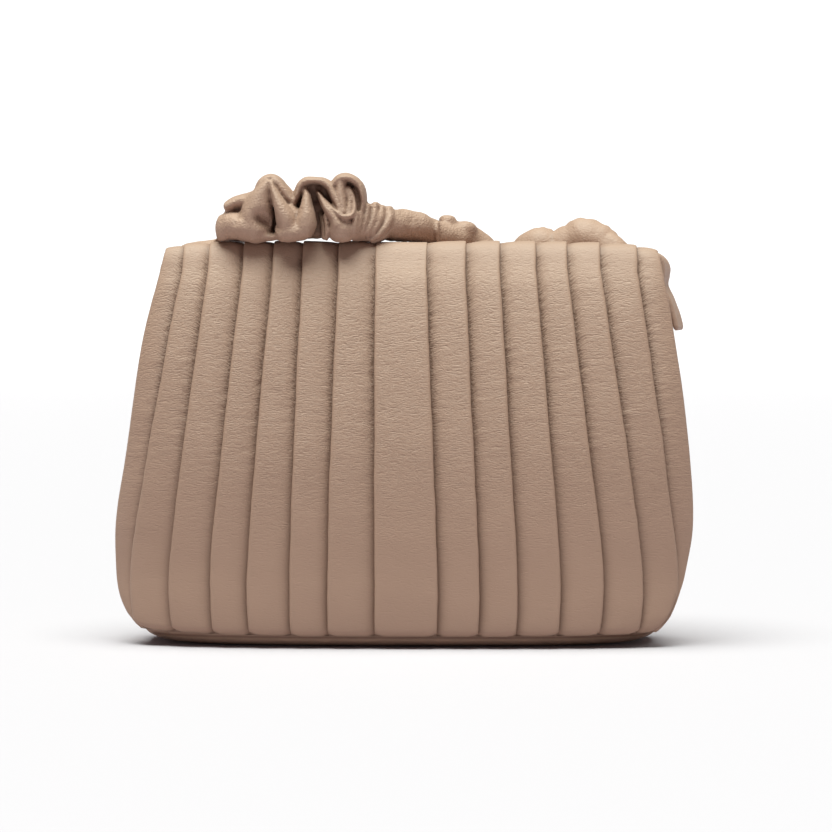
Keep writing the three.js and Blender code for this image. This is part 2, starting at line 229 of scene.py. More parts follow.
class Wire:  # one socket of a material; sums of wires add Math nodes
    def __init__(self, tree, socket=None):
        self.tree = tree
        self.socket = socket

    def node(self, kind, settings, sockets, out=0):
        made = self.tree.nodes.new(kind)
        for name, value in settings.items():
            setattr(made, name, value)
        for name, value in sockets.items():
            if isinstance(value, Wire):
                self.tree.links.new(value.socket, made.inputs[name])
            else:
                made.inputs[name].default_value = value
        return Wire(self.tree, made.outputs[out] if made.outputs else None)

    def maths(self, operation, a, b):
        return self.node("ShaderNodeMath", {"operation": operation}, {0: a, 1: b})

    def __add__(self, other):
        return self.maths("ADD", self, other)

    def __sub__(self, other):
        return self.maths("SUBTRACT", self, other)

    def __rsub__(self, other):
        return self.maths("SUBTRACT", other, self)

    def __mul__(self, other):
        return self.maths("MULTIPLY", self, other)

    __radd__ = __add__
    __rmul__ = __mul__

    def __abs__(self):
        return self.maths("ABSOLUTE", self, 0)

    def mixed(self, a, b):  # colour a where this is 0, colour b where it is 1
        return self.node("ShaderNodeMix", {"data_type": "RGBA"}, {0: self, 6: a, 7: b}, 2)

    def noise(self, scale, detail, distortion=0.0):
        return self.node("ShaderNodeTexNoise", {}, {
            "Vector": self, "Scale": scale, "Detail": detail, "Distortion": distortion,
        })

    def bump(self, look):
        return self.node("ShaderNodeBump", {}, {
            "Height": self, "Strength": look["bumpStrength"], "Distance": look["bumpDepth"],
        })

    def surface(self, sockets):
        shader = self.node("ShaderNodeBsdfPrincipled", {}, sockets)
        self.node("ShaderNodeOutputMaterial", {}, {"Surface": shader})


def bareMaterial(name):
    material = bpy.data.materials.new(name)
    material.use_nodes = True
    material.node_tree.nodes.clear()
    return material, Wire(material.node_tree)


def leather(name, crepe, pebble, paintedBrightness=1.0, solid=False):
    look = leatherLook
    material, w = bareMaterial(name)
    flat = w.node("ShaderNodeUVMap", {"uv_map": "flat"}, {})
    if solid:  # grain through the piece, not along its cut
        place = w.node("ShaderNodeTexCoord", {}, {}, "Object")
        flat = w.node("ShaderNodeVectorMath", {"operation": "SCALE"}, {0: place, "Scale": perMetre})
    strength, paintedShade, tuck = (
        w.node("ShaderNodeAttribute", {"attribute_name": mark}, {}, 2) for mark in ("crepe", "paintedShade", "tuck")
    )
    along, beside = (
        w.node("ShaderNodeVectorMath", {"operation": "MULTIPLY"}, {0: flat, 1: (1 / size[0], 1 / size[1], 1)})
        for size in (look["crepeSize"], look["pinchSize"])
    )
    ridge = 1 - abs(along.noise(1.0, 2.0, 0.5) * 2 - 1) * look["crepeSharp"]
    lines = beside.noise(1.0, 1.5, 0.4)
    fromLow, fromHigh = look["pinchRange"]
    pinch = tuck * w.node("ShaderNodeMapRange", {"interpolation_type": "SMOOTHSTEP"}, {
        "Value": lines, "From Min": fromLow, "From Max": fromHigh,
    })
    cells = w.node("ShaderNodeTexVoronoi", {"feature": "SMOOTH_F1"}, {
        "Vector": flat, "Scale": look["pebbleScale"], "Smoothness": 0.6,
    })
    fine = flat.noise(look["fineScale"], 3.0)
    patch = flat.noise(look["patchScale"], 2.0)
    height = strength * (ridge * crepe + cells * pebble)
    height = height + fine * look["fineHeight"] - pinch * look["pinchDepth"]
    # paintedBrightness makes lighter copies of one leather: painted light
    base, worn = ([c * paintedBrightness for c in look[k][:3]] + [1] for k in ("base", "worn"))
    colour = patch.mixed(base, worn)
    # painted shade: darker in tucks, seams, hollows and along the pucker lines
    colour = (paintedShade + pinch * look["pinchShade"]).mixed(colour, look["paintedDarkColour"])
    rough = look["roughness"] + fine * look["roughSpread"]
    w.surface({
        "Base Color": colour, "Roughness": rough, "Normal": height.bump(look),
        "Specular IOR Level": look["specular"],
    })
    return material


def thread(name):
    look = threadLook
    material, w = bareMaterial(name)
    flat = w.node("ShaderNodeUVMap", {"uv_map": "flat"}, {})
    twist = w.node("ShaderNodeTexWave", {"bands_direction": "DIAGONAL"}, {
        "Vector": flat, "Scale": look["twistScale"],
    })
    colour = twist.mixed(look["dark"], look["light"])
    w.surface({"Base Color": colour, "Roughness": look["roughness"], "Normal": twist.bump(look)})
    return material


flapLeather = leather("flap_leather", crepe=1.0, pebble=0.3)
# panel and strap leather are brightened copies of the flap leather: painted light in place of the light they
# lack
panelLeather = leather("panel_leather", crepe=0.7, pebble=1.5, paintedBrightness=1.08)
strapLeather = leather("strap_leather", crepe=0.9, pebble=2.1, paintedBrightness=1.09, solid=True)
seamThread = thread("seam_thread")


# Flap

flapSections = tableOf("y z left right wrap pleat", [
    (-42.4, 5.5, -117.8, 113.6, 42, 0.8),
    (-43.1, 12, -122.2, 118.4, 43, 0.95),
    (-43.6, 21, -125.9, 122, 44, 1),
    (-43.8, 32, -127.5, 124.8, 45, 1),
    (-43.9, 54, -127.1, 127.4, 45, 1),
    (-42.6, 84, -122.3, 125.6, 43, 1),
    (-38.8, 111, -118.4, 122.9, 38, 1),
    (-32.9, 138, -114.6, 119.3, 31, 1),
    (-26, 159, -110.4, 116.6, 22, 0.95),
    (-19.8, 170, -108.2, 115, 14, 0.85),
    (-16.6, 175.6, -107.3, 114.3, 11.5, 0.66),
    (-13.6, 178.2, -106.9, 113.9, 10.4, 0.5),
    (-7.5, 178.7, -106.5, 113.4, 9.6, 0.42),
    (0, 178.3, -106.2, 113, 9, 0.42),
    (12, 175.9, -106, 112.6, 10, 0.5),
    (21, 170.4, -105.8, 112.2, 12, 0.5),
    (25.8, 162, -105.6, 111.8, 15, 0.4),
    (30.1, 146, -105.2, 111.4, 19, 0.3),
])
foldLines = tableOf("top foot", [
    (-98.8, -119.7), (-87.1, -102.8), (-71.8, -84.6), (-58.3, -68.4), (-45.2, -49.5),
    (-29, -32.9), (-12.4, -11.9), (10.6, 16), (28.1, 34.4), (43.4, 51.3),
    (59.6, 70.2), (73.6, 88.9), (88.4, 106), (104.6, 121),
])
flapSizes = {
    "wall": 1.8, "pleatHeight": 3.1, "leastStrip": 2.2, "fullStrip": 13,
    "squareness": 3, "fullLeft": 1.6, "fullTop": 1.4,
    "edgeShare": 0.975, "easeFrom": 0.95, "easeReach": 0.045,
    "linesTop": 167, "linesFoot": 39, "bow": 3.6, "bowFrom": 0.8, "waver": 0.35,
    "middleStrip": 7, "middleHeight": 1.03, "middleDip": 0.45,
    "rowStep": 0.86, "backRowStep": 2.2, "innerRowStep": 5,
    "hemRoll": 3.4, "hemReach": 9, "hemNotch": 1.2, "hemWaver": 0.5,
    "pucker": 0.42, "puckerReach": 3.6, "tuckReach": 1.5, "slant": (8, 26),
    "crepe": 0.08, "swell": 0.22, "uneven": 0.07,
}
# Heights between which a fold or a mark sets in. The last four are runs measured from the top.
flapZones = {
    "full": (24, 150), "slant": (110, 165), "middleDip": (160, 177), "pucker": (45, 104),
    "crepe": (30, 92), "crepeEnd": (160, 176), "tuck": (62, 132), "tuckEnd": (171, 177),
    "crest": (-28, -6), "crestEnd": (-2, 6), "fullEnd": (-4, 18), "frontEnd": (-4, 14),
}
# One strip from its tuck to its folded edge: share of the width, shift, share of the height.
stripProfile = [
    (0, -3, 0.06), (0, -1.7, 0.08), (0, -0.5, 0.13), (0, 0.7, 0.21), (0.10, 0.3, 0.34), (0.19, 0, 0.49),
    (0.30, 0, 0.65), (0.42, 0, 0.79), (0.54, 0, 0.89), (0.66, 0, 0.95), (0.78, 0, 0.99), (0.88, 0, 1.01),
    (1, -1, 1), (1, -0.35, 0.93), (1, 0, 0.8), (1, -0.05, 0.67), (1, -0.5, 0.56),
    (1, -1.5, 0.46), (1, -2.8, 0.36),
]
foldFrom = 11  # first row of the profile that belongs to the folded edge
edgeRow = 14  # row on the folded edge itself

legs = np.hypot(np.diff(flapSections["y"]), np.diff(flapSections["z"]))
flapSections["run"] = np.concatenate([[0], np.cumsum(legs)])
topRun = flapSections["run"][list(flapSections["y"]).index(0)]
cornerRun = flapSections["run"][int(np.argmax(flapSections["z"] >= flapSizes["linesFoot"]))]


def flapRead(column, run):
    return readTable(flapSections, "run", column, run)


def flapZone(name, at, start=0):
    low, high = flapZones[name]
    return smoothStep(start + low, start + high, at)


def flapBed(x, run):  # lining side of the flap
    sizes = flapSizes
    step = 0.5
    alongY = flapRead("y", run + step) - flapRead("y", run - step)
    alongZ = flapRead("z", run + step) - flapRead("z", run - step)
    along = np.hypot(alongY, alongZ)
    middle = (flapRead("left", topRun) + flapRead("right", topRun)) / 2
    high = np.maximum(run, cornerRun)
    reach = (flapRead("right", high) - flapRead("left", high)) / 2 / sizes["edgeShare"]
    share = np.abs(x - middle) / reach
    past = np.maximum(share - sizes["easeFrom"], 0)
    ease = sizes["easeReach"] * np.tanh(past / sizes["easeReach"])  # no kink at the outer edge
    share = np.minimum(share, sizes["easeFrom"]) + ease
    crest = flapZone("crest", run, topRun) * (1 - flapZone("crestEnd", run, topRun))
    power = sizes["squareness"] + sizes["fullLeft"] * crest * (x < middle)
    upper = flapZone("full", flapRead("z", run)) * (1 - flapZone("fullEnd", run, topRun))
    power = power + sizes["fullTop"] * upper
    depth = flapRead("wrap", run) * (1 - (1 - share ** power) ** (1 / power))
    y = flapRead("y", run) + alongZ / along * depth
    z = flapRead("z", run) - alongY / along * depth
    return stack(x, y, z)


def flapNormal(x, run):
    step = 0.5
    acrossX = flapBed(x + step, run) - flapBed(x - step, run)
    acrossRun = flapBed(x, run + step) - flapBed(x, run - step)
    return crossUnit(acrossX, acrossRun)


def stripLines(run):  # left edge, every folded edge, right edge
    sizes = flapSizes
    left, right = flapRead("left", run), flapRead("right", run)
    height = np.where(run < topRun, flapRead("z", run), flapSections["z"].max())
    drop = np.maximum((sizes["linesTop"] - height) / (sizes["linesTop"] - sizes["linesFoot"]), 0)
    bow = sizes["bow"] * np.maximum(drop - sizes["bowFrom"], 0) ** 3
    drop = drop - bow  # the lines spread, then draw in again at the hem
    count = len(foldLines["top"])
    lines = [left]
    for i in range(count):
        line = foldLines["top"][i] + (foldLines["foot"][i] - foldLines["top"][i]) * drop
        line = line + sizes["waver"] * softNoise(run / 26, 3.7 * i, seed=11)
        line = line + 0.4 * sizes["waver"] * softNoise(run / 7, 5.1 * i, seed=12)
        line = np.maximum(line, left + sizes["leastStrip"] * (i + 1))
        lines.append(np.minimum(line, right - sizes["leastStrip"] * (count - i)))
    lines.append(right)
    return stack(*lines)


def flapColumns():  # strip, place across it, shift, height, and which way it folds
    middle = flapSizes["middleStrip"]
    strips = len(foldLines["top"]) + 1
    columns = []
    for strip in range(strips):
        toRight = [(strip, a, shift, h, 1) for a, shift, h in stripProfile]
        toLeft = [(strip, 1 - a, -shift, h, -1) for a, shift, h in stripProfile][::-1]
        if strip == 0:
            toLeft = toLeft[len(stripProfile) - 1 - edgeRow:]
        if strip == strips - 1:
            toRight = toRight[:edgeRow + 1]
        if strip < middle:
            columns += toLeft
        elif strip > middle:
            columns += toRight
        else:
            flatTop = [(strip, a, 0, flapSizes["middleHeight"], 0) for a in (0.22, 0.34, 0.5, 0.66, 0.78)]
            columns += toLeft[:len(stripProfile) - foldFrom] + flatTop + toRight[foldFrom:]
    return columns


def makeFlap():
    sizes = flapSizes
    roll, end = sizes["hemRoll"], flapSections["run"][-1]
    hemRows = roll * (1 - np.cos(np.radians(np.arange(6, 90, 12))))
    frontRows = np.arange(roll, topRun, sizes["rowStep"])
    backRows = np.linspace(topRun, end, int((end - topRun) / sizes["backRowStep"]))
    runs = np.concatenate([hemRows, frontRows, backRows])
    strip, across, shift, height, fold = np.array(flapColumns(), float).T
    strip = strip.astype(int)
    folded = strip != sizes["middleStrip"]
    lines = stripLines(runs)
    width = lines[:, strip + 1] - lines[:, strip]
    squeeze = np.clip(width / sizes["fullStrip"], 0.1, 1)
    run = np.repeat(runs[:, None], len(strip), 1)
    inStrip = across * width + shift * squeeze
    x = lines[:, strip] + inStrip
    far = 99  # stands for no fold near
    fromTuck = np.where(fold > 0, inStrip, np.where(fold < 0, width - inStrip, far))
    fromFold = np.where(fold == 0, far, width - fromTuck)
    z = flapRead("z", run)

    # hem: each strip ends in a soft turned edge with rounded corners
    own = softNoise(strip * 1.7, 0.5, seed=21)
    corner = np.exp(-(np.maximum(fromFold, 0) / 2.0) ** 2)
    corner = corner + 0.8 * np.exp(-(np.maximum(fromTuck, 0) / 1.8) ** 2)
    near = np.clip(1 - run / sizes["hemReach"], 0, 1) ** 2
    place = run + near * (sizes["hemNotch"] * corner * squeeze + sizes["hemWaver"] * own)
    turn = np.sqrt(np.clip(1 - np.clip(1 - run / roll, 0, 1) ** 2, 0.02, 1))

    # folds, puckers at the tucks, fine crepe
    front = 1 - flapZone("frontEnd", run, topRun)
    upper = flapZone("crepe", z) * (1 - 0.7 * flapZone("crepeEnd", z)) * front
    leastSlant, moreSlant = sizes["slant"]
    slant = np.tan(np.radians(leastSlant + moreSlant * flapZone("slant", z)))
    level = run - slant * np.clip(fromTuck, 0, 6)
    pucker = softNoise(level / 2.7, fromTuck / 9 + 13.7 * strip, seed=31)
    pucker = pucker + 0.5 * softNoise(level / 1.6, fromTuck / 5, strip * 3.1, seed=32)
    tuckSide = np.exp(-np.clip(fromTuck - 0.5, 0, far) / sizes["puckerReach"]) * smoothStep(-1, 1.5, fromTuck)
    level = run - 0.1 * np.clip(fromTuck, 0, 14)
    crepe = softNoise(x / 7.5, level / 1.9, seed=41) + 0.6 * softNoise(x / 11, level / 3.4, seed=42)
    swell = softNoise(x / 16, run / 30, seed=51) + 0.5 * softNoise(x / 9, run / 12, seed=52)
    plain = smoothStep(-2, 1.5, fromTuck) * smoothStep(-0.2, 2.2, fromFold)
    pleat = sizes["pleatHeight"] * flapRead("pleat", run)
    pleat = pleat * (1 + sizes["uneven"] * softNoise(run / 34, strip * 2.3, seed=61))
    pleat = pleat * np.clip(squeeze * 1.15, 0, 1)
    pleat = pleat * (1 - sizes["middleDip"] * flapZone("middleDip", z) * ~folded)
    lift = sizes["wall"] + pleat * height
    fade = 0.15 + 0.85 * flapZone("pucker", z)
    lift = lift + sizes["pucker"] * pucker * tuckSide * fade * front * squeeze
    lift = lift + sizes["crepe"] * crepe * plain * upper
    lift = lift + sizes["swell"] * swell * plain * front
    outer = flapBed(x, place) + flapNormal(x, place) * (lift * turn)[..., None]

    # lining side, with fewer rows and columns
    rowPicks = sorted(set(range(0, len(runs), sizes["innerRowStep"])) | {len(runs) - 1})
    keep = [k for k in range(len(strip)) if abs(shift[k]) < 0.01 or k in (0, len(strip) - 1)]
    picks = np.ix_(rowPicks, keep)
    inner = flapBed(x[picks], run[picks])

    # flat layout and marks for the leather
    steps = np.abs(np.diff(x, axis=1, prepend=x[:, :1]))
    flat = stack(np.cumsum(steps, 1), run - slant * np.clip(fromTuck, 0, 4) * folded)
    # painted shade in each tuck, under the neighbour's folded edge
    deep = np.clip(1 - height * 1.6, 0, 1) * smoothStep(6, -1, fromTuck) * front
    crepeMark = 0.2 + 0.8 * upper * plain * (0.75 + 0.25 * np.clip(fromTuck, 0, 8) / 8)
    tuckMark = np.exp(-np.clip(fromTuck - 0.8, 0, far) / sizes["tuckReach"])
    tuckMark = tuckMark * smoothStep(-0.8, 0.6, fromTuck) * folded * front
    tuckMark = tuckMark * (0.05 + 0.95 * flapZone("tuck", z)) * (1 - flapZone("tuckEnd", z))
    marks = {"tuck": (tuckMark, 0), "crepe": (crepeMark, 0.1), "paintedShade": (0.95 * deep, 0)}
    faces = sheetFaces(outer.shape[:2], rowPicks, keep)
    flap = makePiece("pleated_flap", (outer, inner), faces, (flat, flat[picks]), marks, flapLeather)
    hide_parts("flap")
    return flap, runs, outer


flap, flapRuns, flapOuter = makeFlap()


# Stitches along the flap's sewn edge, at the back

stitchSizes = {
    "fromEdge": 4.2, "fromSide": 7, "length": 3.1, "gap": 1.1,
    "radius": 0.42, "proud": 0.3, "sides": 8, "rings": 7,
}


def makeStitches(runs, outer):
    sizes = stitchSizes
    length, radius, rings, sides = (sizes[key] for key in ("length", "radius", "rings", "sides"))
    row = int(np.argmin(np.abs(runs - (runs[-1] - sizes["fromEdge"]))))
    line = outer[row][np.argsort(outer[row][:, 0])]
    first, last = line[0, 0] + sizes["fromSide"], line[-1, 0] - sizes["fromSide"]
    right = np.array([1.0, 0, 0])
    out = crossUnit(right, outer[row + 1].mean(0) - outer[row - 1].mean(0))
    up = np.cross(out, right)
    angle = np.linspace(0, 2 * np.pi, sides, endpoint=False)
    points, flat, faces = [], [], []
    for start in np.arange(first, last, length + sizes["gap"]):
        faces += tubeFaces(rings, sides, len(points) * sides)
        for share in np.linspace(0, 1, rings):
            x = start + length * share
            y, z = (np.interp(x, line[:, 0], line[:, axis]) for axis in (1, 2))
            arch = math.sin(math.pi * (0.06 + 0.88 * share)) ** 0.5  # the ends dive into the leather
            middle = np.array([x, y, z]) + out * (sizes["proud"] + radius * (arch - 1))
            reach = radius * (0.45 + 0.55 * arch)
            points.append(middle + reach * (np.cos(angle)[:, None] * up + np.sin(angle)[:, None] * out))
            flat.append(stack(x, angle))
    makePiece("flap_stitches", points, faces, flat, {}, seamThread)


makeStitches(flapRuns, flapOuter)


# Body panels

bodySections = tableOf("z left right front back", [
    (0, -99, 96.5, 28, 28),
    (1.1, -107.6, 105, 35.6, 35.4),
    (3.2, -114.4, 111.4, 40, 39.6),
    (5.4, -117.6, 114.4, 40.9, 40.4),
    (8, -118.6, 115.2, 41.4, 41),
    (16, -121.4, 117.8, 42, 41.6),
    (28, -124, 121, 42.6, 41.8),
    (57, -125.4, 125.4, 42.8, 41),
    (84, -122.6, 124.4, 41.2, 38.6),
    (111, -118.2, 122.4, 37.6, 35.2),
    (138, -114.2, 119.6, 31.4, 30.6),
    (166, -109.6, 117, 22.5, 24),
])
bodySizes = {
    "wall": 2, "squareness": 3, "frontMouth": 156, "backMouth": 164,
    "seam": 58, "seamGap": 0.15, "seamDip": 1.1, "seamSoft": 3, "seamRise": (4, 30), "seamShade": 0.55,
    "rows": [(0, 0.06, 22), (0.06, 0.975, 70), (0.975, 1, 7)], "closer": 0.035,
    "slack": 0.5, "hemShade": (4.7, 0.7), "baseInset": 1.5,
}


def bodySurface(angle, z):
    turn = np.radians(angle)
    power = 2 / bodySizes["squareness"]
    across = np.sign(np.sin(turn)) * np.abs(np.sin(turn)) ** power
    ahead = np.abs(np.cos(turn)) ** power
    left, right, front, back = readColumns(bodySections, "z", "left right front back", z)
    y = np.where(np.cos(turn) > 0, -front * ahead, back * ahead)
    return stack((right + left) / 2 + (right - left) / 2 * across, y, z)


def bodyNormal(angle, z):
    level = np.maximum(z, 1)
    around = bodySurface(angle + 0.5, level) - bodySurface(angle - 0.5, level)
    upwards = bodySurface(angle, level + 1) - bodySurface(angle, level - 1)
    return crossUnit(around, upwards)


def mouthHeight(angle):
    low, high, seam = (bodySizes[key] for key in ("frontMouth", "backMouth", "seam"))
    turned = np.abs((angle + 180) % 360 - 180)
    return low + (high - low) * np.clip((turned - seam) / (180 - 2 * seam), 0, 1)


def makePanel(name, node, fromSeam, toSeam, columns, seed):
    sizes = bodySizes
    ease = np.linspace(0, 1, columns)
    ease = ease - sizes["closer"] * np.sin(2 * np.pi * ease)  # closer columns at the seams
    angle = fromSeam + sizes["seamGap"] + (toSeam - fromSeam - 2 * sizes["seamGap"]) * ease
    rise = np.unique(np.concatenate([np.linspace(*rows) for rows in sizes["rows"]]))
    angle, rise = np.meshgrid(angle, rise)
    z = rise * mouthHeight(angle)
    point = bodySurface(angle, z)
    normal = bodyNormal(angle, z)
    along = np.cumsum(np.linalg.norm(np.diff(point, axis=1, prepend=point[:, :1]), axis=-1), 1)
    toEdge = np.minimum(along, along[:, -1:] - along)
    toMouth = mouthHeight(angle) - z
    seamRise = smoothStep(*sizes["seamRise"], z)
    dip = sizes["seamDip"] * seamRise * (1 - smoothStep(0, sizes["seamSoft"], toEdge)) ** 1.5
    mouthRoll = np.sqrt(np.clip(1 - np.clip(1 - toMouth / 2, 0, 1) ** 2, 0, 1))
    rollOver = sizes["wall"] * 0.45 * (1 - mouthRoll)
    slack = softNoise(along / 38, z / 30, seed=seed) + 0.6 * softNoise(along / 16, z / 13, seed=seed + 1)
    slack = -np.abs(slack) * sizes["slack"] * smoothStep(0, 12, toEdge)
    slack = slack * smoothStep(3, 16, z) * smoothStep(0, 10, toMouth)
    outer = point + normal * (slack - dip - rollOver)[..., None]
    inner = point - normal * (sizes["wall"] - rollOver)[..., None]
    flat = stack(along, z)
    faces = sheetFaces(z.shape, range(len(z)), range(columns))
    # painted shade along the seam dips and under the hem, where the front is shut in
    paintedShade = sizes["seamShade"] * seamRise * (1 - smoothStep(0, 1.4, toEdge))
    shadeAt, shadeReach = sizes["hemShade"]
    under = np.exp(-((z - shadeAt) / shadeReach) ** 2) * (np.cos(np.radians(angle)) > 0.3)
    paintedShade = np.maximum(paintedShade, under)  # darker where the front is shut in under the hem
    marks = {"crepe": (0.3, 0.3), "paintedShade": (paintedShade, 0)}
    panel = makePiece(name, (outer, inner), faces, (flat, flat), marks, panelLeather)
    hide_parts(node)


def makeBase():
    wall = bodySizes["wall"]
    angle = np.arange(0, 360, 3.0)
    normal = bodyNormal(angle, np.full(len(angle), 3.0))
    normal[:, 2] = 0
    normal = unit(normal)
    rim = bodySurface(angle, np.zeros(len(angle))) - normal * bodySizes["baseInset"]
    middle = rim.mean(0)
    up = np.array([0, 0, 1.0])
    edge = [(0, 0.7), (0.3, 0.2), (0.8, 0), (1.4, 0.02)]  # inset from the rim, height
    shares = [0.02, 0.3, 0.6, 0.9]
    rings = [middle + (rim - middle) * share + up * edge[-1][1] for share in shares]
    rings += [rim - normal * inset + up * h for inset, h in edge[::-1]]
    rings += [rim - normal * inset + up * (wall - h) for inset, h in edge]
    rings += [middle + (rim - middle) * share + up * wall for share in shares[::-1]]
    faces = tubeFaces(len(rings), len(angle))
    points = np.concatenate(rings)
    marks = {"crepe": [0.2], "paintedShade": [0]}
    base = makePiece("base_leather", [points], faces, [points[:, :2]], marks, panelLeather)
    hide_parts("base_panel")


seam = bodySizes["seam"]
makePanel("front_leather", "front_panel", -seam, seam, 90, 71)
makePanel("gusset_leather_right", "gusset_right", seam, 180 - seam, 60, 73)
makePanel("back_leather", "back_panel", 180 - seam, 180 + seam, 90, 75)
makePanel("gusset_leather_left", "gusset_left", 180 + seam, 360 - seam, 60, 77)
makeBase()


# Strap tabs

tabSizes = {
    "wall": 2.4,
    "front": 2,
    "rear": 24,
    "corner": 1,
    "rows": 90,
    "wave": 0.18,
    "right": tableOf("x z turn", [
        (125.4, 141.2, 9), (124, 147.4, 9), (121.6, 154.6, 8), (118.4, 161.4, 9), (118.9, 166, 9),
        (119, 169.6, 10), (118, 172.8, 8), (115.6, 175.2, 4), (111.8, 176.4, 0),
    ]),
    "left": tableOf("x z turn", [
        (-114.6, 142, 0), (-113.2, 150, 0), (-111.7, 158, 0), (-111, 165, 0), (-110, 170.2, 0),
        (-107.6, 175, 0), (-104.2, 177.9, 0),
    ]),
}


def makeTab(name, node, path, outwards, seed):
    sizes = tabSizes
    path = dict(path, place=np.arange(len(path["x"]), dtype=float))
    place = np.linspace(0, path["place"][-1], sizes["rows"])
    x, z, turn = readColumns(path, "place", "x z turn", place)
    ahead, behind = (stack(*readColumns(path, "place", "x z", place + step)) for step in (0.1, -0.1))
    along = unit(ahead - behind)
    out = stack(along[:, 1], 0, -along[:, 0]) * outwards
    middle = stack(x, (sizes["front"] + sizes["rear"]) / 2, z)
    wide = (sizes["rear"] - sizes["front"]) / 2
    half, r = sizes["wall"] / 2, sizes["corner"]
    section = []
    for start, side, up in ((0, 1, 1), (90, -1, 1), (180, -1, -1), (270, 1, -1)):
        for a in np.radians(start + np.arange(0, 91, 30)):
            section.append(((wide - r) * side + r * math.cos(a), (half - r) * up + r * math.sin(a)))
        if side == up:  # rows along the wide faces
            section += [((wide - r) * share * side, half * up) for share in (0.7, 0.35, 0, -0.35, -0.7)]
    section = np.array(section)
    count = len(place)
    fromEnd = np.minimum(np.arange(count), np.arange(count)[::-1])[:, None]
    shrink = 1 - 0.12 * np.clip(1 - fromEnd / 4, 0, 1) ** 2
    lift = section[:, 1] * (1 - 0.5 * np.clip(1 - fromEnd / 3, 0, 1) ** 2)
    run = runOf(middle)[:, None]
    wave = sizes["wave"] * softNoise(run / 7, section[None, :, 0] / 9, seed=seed)
    turn = np.radians(turn)
    across = stack(np.sin(turn) * outwards, np.cos(turn), 0)
    points = sweep(middle, across, out, section[:, 0] * shrink, lift + wave)
    flat = stack(section[:, 0], run)
    marks = {"crepe": [0.35], "paintedShade": [0]}
    tab = makePiece(name, [points], tubeFaces(count, len(section)), [flat], marks, panelLeather)
    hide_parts(node)


makeTab("tab_leather_right", "strap_tab_right", tabSizes["right"], 1, 81)
makeTab("tab_leather_left", "strap_tab_left", tabSizes["left"], -1, 83)


# Gathered strap

strapSections = tableOf("x y z wide tall", [
    (109.4, 14, 177.6, 8.6, 1.2), (106, 14.4, 177.8, 8, 1.3), (102, 18.8, 177.4, 6.8, 1.4),
    (96, 24.4, 178.4, 8.4, 5.6), (89.4, 28.2, 180.8, 10.2, 9.8), (82, 30, 181.6, 11, 11.2),
    (75, 30, 180, 9, 9), (69, 30.4, 178.2, 8.5, 8.6), (63, 32, 178.2, 10.5, 10.5),
    (57.6, 34.4, 176.4, 9.6, 9.2), (51.8, 37.4, 166, 8.2, 7.4), (44.5, 39, 163.8, 9, 8.8),
    (38.5, 37, 170.8, 8.4, 8.6), (33, 33, 176.6, 9.6, 9.8), (27.5, 28.4, 181.4, 8.4, 8.6),
    (21.5, 23.6, 183, 10, 8), (15.5, 17, 184, 8.4, 6.8), (10, 12, 186, 7.8, 6.9),
    (4.5, 6.8, 188.2, 9, 7.2), (-1, 2, 188.9, 8, 7.4), (-6.5, -2.4, 189, 9, 7.2),
    (-12, -7, 190, 8.2, 7.3), (-17, -11, 191, 9.6, 8.2), (-21.2, -14, 195.6, 13, 13.3),
    (-26.8, -17, 197.2, 15, 15.2), (-32.4, -18.5, 195.7, 11.6, 13.7), (-38.8, -19.5, 196.3, 15, 14.3),
    (-45, -20, 195.4, 13.4, 13.4), (-51, -20, 192.8, 10.2, 10.8), (-56, -19.5, 195.3, 13.4, 13.3),
    (-61.2, -18.5, 197.2, 14.6, 15.1), (-67, -16, 195.2, 13, 13.1), (-73, -11, 192.4, 11.4, 10.8),
    (-75.4, -2.6, 188, 8.6, 6.4), (-77.4, 7, 184.8, 8, 4), (-80.6, 14.6, 182.2, 7.6, 2.6),
    (-85.4, 18.6, 181.2, 7.4, 2.1), (-90.4, 18, 180.6, 7.4, 1.9), (-95, 15.6, 180, 7.6, 1.8),
    (-99.8, 13.4, 179.2, 8.4, 1.7), (-102.7, 13, 178.4, 10, 1.5),
])
